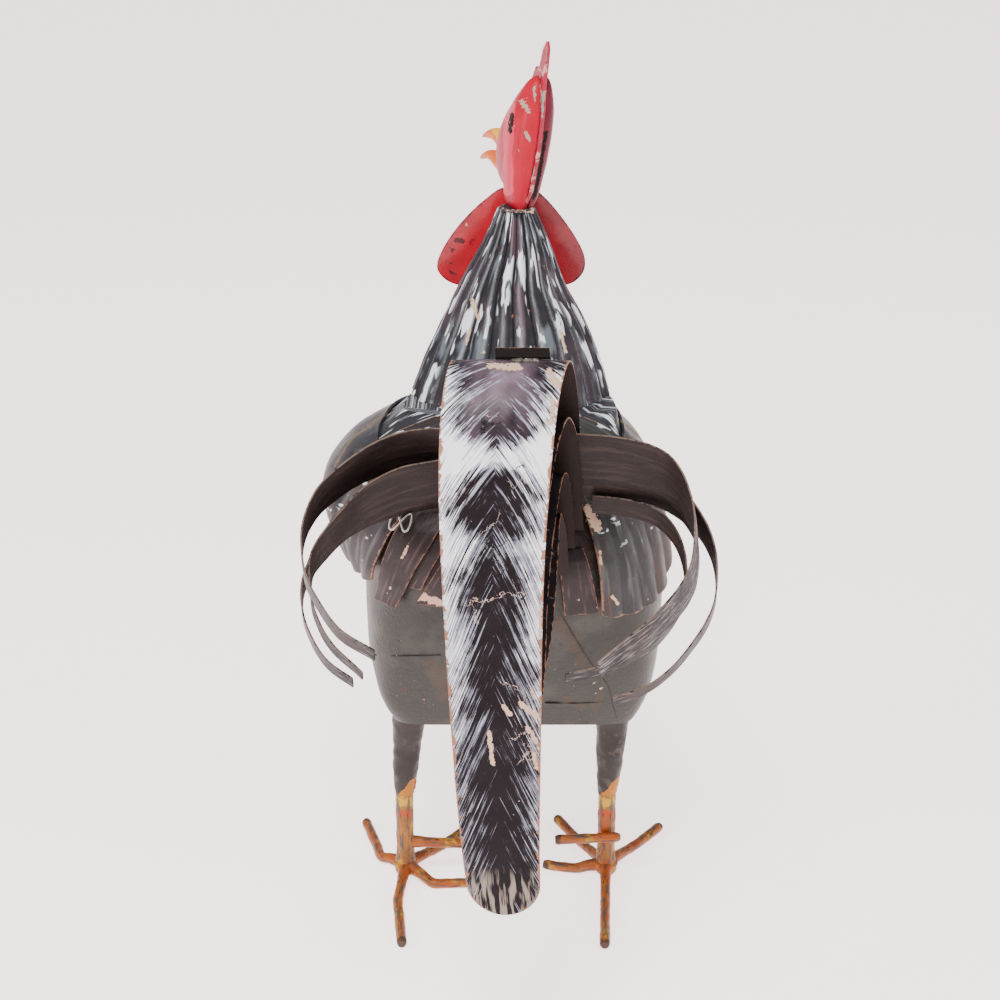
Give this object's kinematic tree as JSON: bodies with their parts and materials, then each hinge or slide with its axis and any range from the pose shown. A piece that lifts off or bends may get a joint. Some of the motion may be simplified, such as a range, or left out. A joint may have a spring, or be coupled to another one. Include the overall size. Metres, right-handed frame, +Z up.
{
  "type": "iron rooster figurine",
  "caption": "Standing rooster bent and welded from painted sheet iron, with arched tail feathers and rod feet.",
  "frame": {"origin": "middle of the bounding box's footprint, on the floor under the feet", "axes": "the bird faces -Y, its tail falls towards +Y, +X is its left side and +Z is up"},
  "size_m": [0.2302, 0.3848, 0.532],
  "materials": {
    "olive_grey_iron": "brushed and smoked olive grey paint with rust stains",
    "slate_paint": "slate grey paint with pale dry brush strokes",
    "plum_primer": "worn plum brown primer",
    "black_feather": "plum black paint with scratched barbs and bare copper edges",
    "red_paint": "worn gloss red paint",
    "beak_yellow": "yellow and orange paint",
    "thigh_iron": "smoke dark paint",
    "ochre_leg": "ochre and orange paint, rubbed through to grey iron"
  },
  "bodies": {
    "root": {"beak_lower": "beak_yellow", "beak_upper": "beak_yellow", "body": "olive_grey_iron", "comb_plate": "red_paint", "head_shell_left": "red_paint", "head_shell_right": "red_paint", "neck": "slate_paint", "rump_feather_left_1": "plum_primer", "rump_feather_left_2": "plum_primer", "rump_feather_left_3": "plum_primer", "rump_feather_right_1": "plum_primer", "saddle_left": "slate_paint", "saddle_right": "slate_paint", "shank_left": "ochre_leg", "shank_right": "ochre_leg", "side_feather_left_lower": "black_feather", "side_feather_left_middle": "black_feather", "side_feather_left_upper": "black_feather", "side_feather_right_inner": "black_feather", "side_feather_right_outer": "black_feather", "side_feather_right_upper": "black_feather", "spur_left": "ochre_leg", "spur_right": "ochre_leg", "tail_feather_inner": "black_feather", "tail_feather_outer": "black_feather", "tail_feather_second": "black_feather", "tail_feather_third": "black_feather", "tail_strap_tab": "black_feather", "thigh_left": "thigh_iron", "thigh_right": "thigh_iron", "toe_hind_left": "ochre_leg", "toe_hind_right": "ochre_leg", "toe_inner_left": "ochre_leg", "toe_inner_right": "ochre_leg", "toe_middle_left": "ochre_leg", "toe_middle_right": "ochre_leg", "toe_outer_left": "ochre_leg", "toe_outer_right": "ochre_leg", "wattle_left": "red_paint", "wattle_right": "red_paint", "wing_left": "slate_paint", "wing_right": "slate_paint"}
  },
  "joints": []
}
